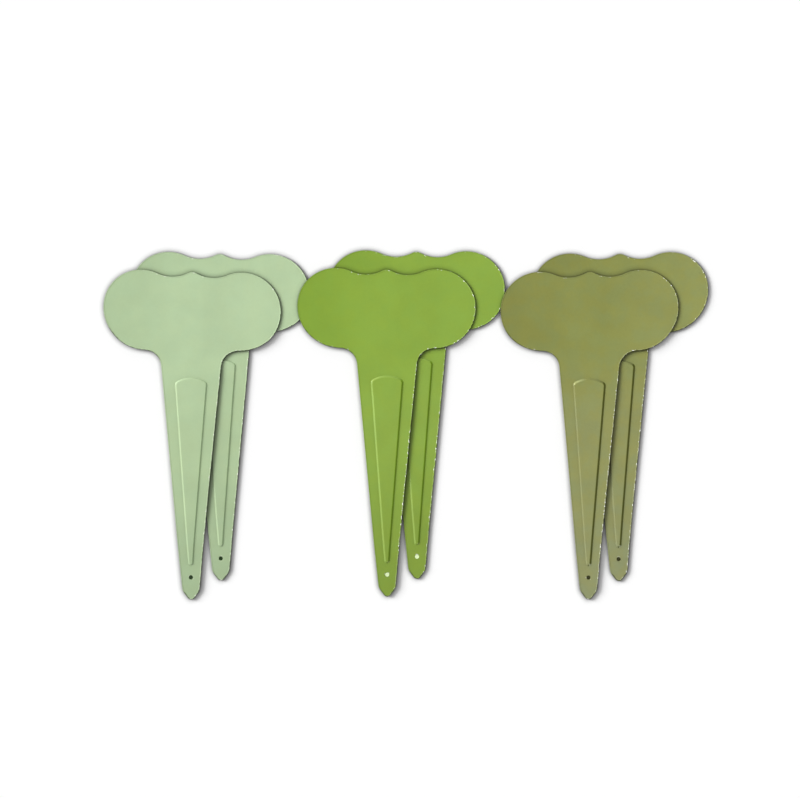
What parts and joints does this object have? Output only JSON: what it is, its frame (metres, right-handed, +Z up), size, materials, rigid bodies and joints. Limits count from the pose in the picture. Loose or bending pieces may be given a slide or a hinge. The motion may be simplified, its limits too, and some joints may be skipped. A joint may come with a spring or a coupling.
{
  "type": "plant label stake set",
  "caption": "Painted sheet-metal plant label stakes with two-lobed heads and raised tapering panels, laid loose in overlapping pairs.",
  "frame": {"origin": "middle of the laid-out set in plan, on the table that it lies on", "axes": "+X along the row from the pale pair to the olive pair, +Y from the tips to the heads, +Z up from the table"},
  "size_m": [0.2733, 0.1588, 0.0024],
  "materials": {
    "pale_green_paint": "satin paint on thin sheet steel",
    "bright_green_paint": "satin paint on thin sheet steel",
    "olive_green_paint": "satin paint on thin sheet steel"
  },
  "bodies": {
    "pale_green_back": {"pale_green_back_stake": "pale_green_paint"},
    "pale_green_front": {"pale_green_front_stake": "pale_green_paint"},
    "bright_green_back": {"bright_green_back_stake": "bright_green_paint"},
    "bright_green_front": {"bright_green_front_stake": "bright_green_paint"},
    "olive_green_back": {"olive_green_back_stake": "olive_green_paint"},
    "olive_green_front": {"olive_green_front_stake": "olive_green_paint"}
  },
  "joints": [
    {"name": "pale_green_front_lift", "type": "slide", "parent": "pale_green_back", "child": "pale_green_front", "axis": [0, 0, 1], "range_m": [0, 0.04]},
    {"name": "bright_green_back_lift", "type": "slide", "parent": "pale_green_back", "child": "bright_green_back", "axis": [0, 0, 1], "range_m": [0, 0.04]},
    {"name": "bright_green_front_lift", "type": "slide", "parent": "bright_green_back", "child": "bright_green_front", "axis": [0, 0, 1], "range_m": [0, 0.04]},
    {"name": "olive_green_back_lift", "type": "slide", "parent": "bright_green_back", "child": "olive_green_back", "axis": [0, 0, 1], "range_m": [0, 0.04]},
    {"name": "olive_green_front_lift", "type": "slide", "parent": "olive_green_back", "child": "olive_green_front", "axis": [0, 0, 1], "range_m": [0, 0.04]}
  ]
}
